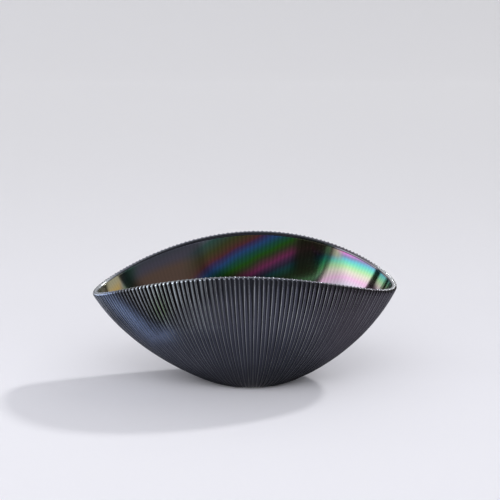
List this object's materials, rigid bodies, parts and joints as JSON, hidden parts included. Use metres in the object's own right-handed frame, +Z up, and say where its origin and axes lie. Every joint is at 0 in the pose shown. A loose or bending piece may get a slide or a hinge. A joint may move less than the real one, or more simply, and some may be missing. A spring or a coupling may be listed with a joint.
{
  "type": "art glass bowl",
  "caption": "Free-standing oval art glass bowl with a saddle-shaped rim, a finely ribbed dark outside and a smooth iridised inside.",
  "frame": {"origin": "on the surface that the bowl stands on, under the middle of the rim's plan", "axes": "+X along the long axis of the rim towards its higher end, +Y across the bowl towards the higher long side, +Z up"},
  "size_m": [0.2502, 0.1482, 0.1116],
  "materials": {
    "dark_glass": "near-black blue-grey glass, fine vertical ribs, satin gloss",
    "iridised_glass": "smooth and glossy, with an oil-film iridescence in bands of purple, blue, green, red and gold"
  },
  "bodies": {
    "root": {"ribbed_casing": "dark_glass", "iridised_lining": "iridised_glass"}
  },
  "joints": []
}
